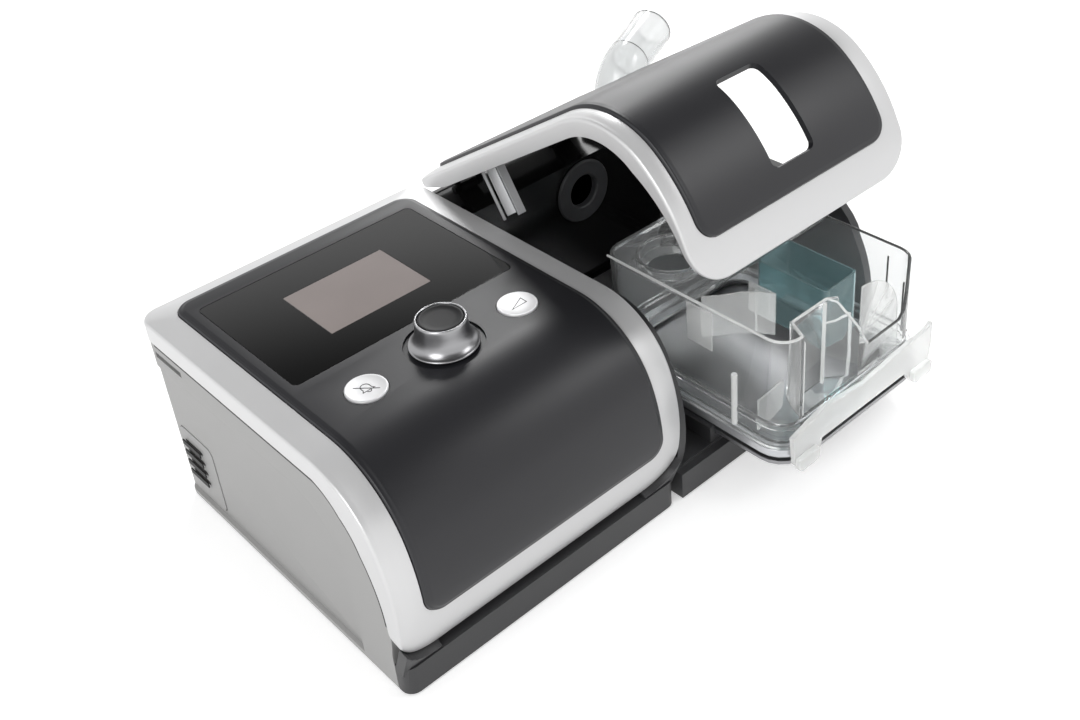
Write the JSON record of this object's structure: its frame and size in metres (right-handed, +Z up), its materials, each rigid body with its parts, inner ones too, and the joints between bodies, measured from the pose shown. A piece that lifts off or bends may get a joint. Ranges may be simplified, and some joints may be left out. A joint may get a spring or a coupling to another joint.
{
  "type": "bilevel positive airway pressure machine",
  "caption": "Table-top bilevel breathing therapy machine with display, knob and buttons, joined to a heated humidifier with its lid open, clear water chamber pulled out and an outlet elbow.",
  "frame": {"origin": "middle of the footprint, on the table", "axes": "+X to the right along the front, +Y to the back, +Z up"},
  "size_m": [0.3572, 0.2498, 0.203],
  "materials": {
    "satin_silver": "satin silver paint",
    "charcoal": "fine matt, soft highlight",
    "display_glass": "high gloss",
    "screen": "satin",
    "brushed_knob": "turned and brushed",
    "black_plastic": "matt",
    "button_silver": "satin",
    "casing_grey": "fine texture",
    "base_grey": "fine texture",
    "bay_black": "semi gloss",
    "dark_rubber": "matt",
    "steel": "plain",
    "aluminium": "plain",
    "heater_foil": "foil on film",
    "dark_plastic": "matt",
    "white_plastic": "matt",
    "board_green": "solder mask",
    "filter_foam": "open foam",
    "stay_grey": "satin",
    "clamp_grey": "satin",
    "clear_plastic": "clear and glossy",
    "teal_plastic": "tinted and glossy"
  },
  "bodies": {
    "main": {"top_bezel": "satin_silver", "control_panel": "charcoal", "display_window": "display_glass", "display_module": "screen", "power_inlet": "black_plastic", "side_casing": "casing_grey", "bottom_tray": "base_grey", "humidifier_base": "base_grey", "humidifier_floor": "base_grey", "rear_housing": "bay_black", "main_foot_front_left": "dark_rubber", "main_foot_back_left": "dark_rubber", "main_foot_front_right": "dark_rubber", "main_foot_back_right": "dark_rubber", "humidifier_foot_front_left": "dark_rubber", "humidifier_foot_back_left": "dark_rubber", "humidifier_foot_front_right": "dark_rubber", "humidifier_foot_back_right": "dark_rubber", "blower_mount": "dark_rubber", "outlet_coupling": "dark_rubber", "coupling_seal": "dark_rubber", "inlet_gasket": "dark_rubber", "elbow_seal": "dark_rubber", "card_socket": "steel", "blower_motor": "steel", "hinge_pin_left": "steel", "hinge_pin_right": "steel", "heater_plate": "aluminium", "heater_element": "heater_foil", "encoder_body": "dark_plastic", "mute_switch": "dark_plastic", "ramp_switch": "dark_plastic", "blower_base": "dark_plastic", "blower_cover": "dark_plastic", "main_board": "board_green", "air_filter": "filter_foam"},
    "lid": {"lid_frame": "satin_silver", "lid_panel": "charcoal", "lid_stay": "stay_grey", "lid_knuckle_left": "dark_plastic", "lid_knuckle_right": "dark_plastic"},
    "chamber": {"chamber_tub": "clear_plastic", "chamber_cover": "clear_plastic", "chamber_duct": "teal_plastic", "chamber_clamp": "clamp_grey", "chamber_seal": "dark_rubber", "chamber_base_plate": "aluminium", "chamber_grip": "clear_plastic"},
    "plunger": {"encoder_plunger": "steel"},
    "knob": {"knob_skirt": "brushed_knob", "knob_cap": "black_plastic", "knob_shaft": "steel"},
    "mute": {"mute_button": "button_silver"},
    "ramp": {"ramp_button": "button_silver"},
    "wheel": {"impeller": "white_plastic"},
    "filter_door": {"filter_cover": "casing_grey"},
    "card": {"memory_card": "black_plastic"},
    "elbow": {"outlet_elbow": "clear_plastic"}
  },
  "joints": [
    {"name": "lid_hinge", "type": "hinge", "parent": "main", "child": "lid", "pos_m": [0.07144, 0.11462, 0.107], "axis": [-1, 0, 0], "range_deg": [-32, 23]},
    {"name": "chamber_slide", "type": "slide", "parent": "main", "child": "chamber", "axis": [0, -1, 0], "range_m": [-0.0662, 0.0478]},
    {"name": "knob_press", "type": "slide", "parent": "main", "child": "plunger", "axis": [0, 0, -1], "range_m": [0, 0.0008], "stiffness_N_per_m": 1500, "springref_m": -0.0003},
    {"name": "knob_turn", "type": "hinge", "parent": "plunger", "child": "knob", "pos_m": [-0.09406, -0.01888, 0.1188], "axis": [0, 0, 1], "continuous": true},
    {"name": "mute_press", "type": "slide", "parent": "main", "child": "mute", "axis": [0, 0, -1], "range_m": [0, 0.001], "stiffness_N_per_m": 800, "springref_m": -0.0003},
    {"name": "ramp_press", "type": "slide", "parent": "main", "child": "ramp", "axis": [0, 0, -1], "range_m": [0, 0.001], "stiffness_N_per_m": 800, "springref_m": -0.0003},
    {"name": "impeller_spin", "type": "hinge", "parent": "main", "child": "wheel", "pos_m": [-0.08657, 0.06112, 0.046], "axis": [0, 0, 1], "continuous": true},
    {"name": "filter_cover_pull", "type": "slide", "parent": "main", "child": "filter_door", "axis": [-1, 0, 0], "range_m": [0, 0.03]},
    {"name": "card_pull", "type": "slide", "parent": "main", "child": "card", "axis": [-1, 0, 0], "range_m": [0, 0.028]},
    {"name": "elbow_swivel", "type": "hinge", "parent": "main", "child": "elbow", "pos_m": [0.13194, 0.09912, 0.116], "axis": [0, 0, 1], "range_deg": [-10, 75]}
  ],
  "couplings": [
    {"joint": "chamber_slide", "follows": "lid_hinge", "m_per_rad": 0.11817}
  ]
}
